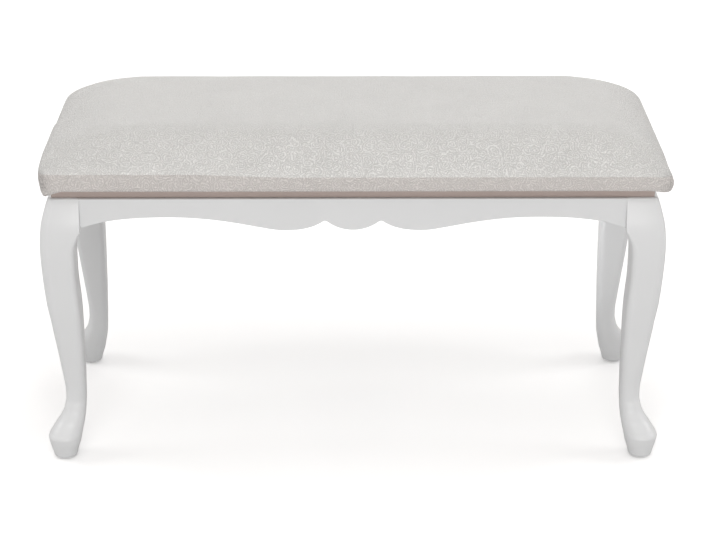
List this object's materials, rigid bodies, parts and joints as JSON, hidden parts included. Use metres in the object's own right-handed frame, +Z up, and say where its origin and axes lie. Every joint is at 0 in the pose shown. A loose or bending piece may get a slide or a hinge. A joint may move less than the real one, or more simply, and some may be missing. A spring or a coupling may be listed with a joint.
{
  "type": "upholstered piano bench",
  "caption": "Long low bench with a domed fabric seat, shallow scalloped aprons and four outward-curving cabriole legs with pad feet.",
  "frame": {"origin": "on the floor under the middle of the bench", "axes": "+X along the bench to the sitter's left, +Y towards the back, +Z up; the front apron faces -Y"},
  "size_m": [0.915, 0.375, 0.5095],
  "materials": {
    "lacquer": "satin",
    "riser_lacquer": "satin",
    "seat_fabric": "satin",
    "foam": "matte",
    "plywood": "matte",
    "beech": "matte",
    "dust_cloth": "matte",
    "steel": "satin",
    "glide": "satin"
  },
  "bodies": {
    "root": {"leg_front_left": "lacquer", "leg_front_right": "lacquer", "leg_back_left": "lacquer", "leg_back_right": "lacquer", "foot_glide_front_left": "glide", "foot_glide_front_right": "glide", "foot_glide_back_left": "glide", "foot_glide_back_right": "glide", "corner_block_front_left": "beech", "corner_block_front_right": "beech", "corner_block_back_left": "beech", "corner_block_back_right": "beech", "hanger_bolt_front_left": "steel", "hanger_bolt_front_right": "steel", "hanger_bolt_back_left": "steel", "hanger_bolt_back_right": "steel", "washer_front_left": "steel", "washer_front_right": "steel", "washer_back_left": "steel", "washer_back_right": "steel", "nut_front_left": "steel", "nut_front_right": "steel", "nut_back_left": "steel", "nut_back_right": "steel", "seat_screw_front_left": "steel", "seat_screw_front_right": "steel", "seat_screw_back_left": "steel", "seat_screw_back_right": "steel", "apron_front": "lacquer", "apron_back": "lacquer", "apron_left": "lacquer", "apron_right": "lacquer", "riser_front": "riser_lacquer", "riser_back": "riser_lacquer", "riser_left": "riser_lacquer", "riser_right": "riser_lacquer", "dowel_front_a1": "beech", "dowel_front_a2": "beech", "dowel_front_b1": "beech", "dowel_front_b2": "beech", "dowel_back_a1": "beech", "dowel_back_a2": "beech", "dowel_back_b1": "beech", "dowel_back_b2": "beech", "dowel_left_a1": "beech", "dowel_left_a2": "beech", "dowel_left_b1": "beech", "dowel_left_b2": "beech", "dowel_right_a1": "beech", "dowel_right_a2": "beech", "dowel_right_b1": "beech", "dowel_right_b2": "beech", "seat_board": "plywood", "foam_pad": "foam", "seat_cover": "seat_fabric", "dust_cloth": "dust_cloth"}
  },
  "joints": []
}
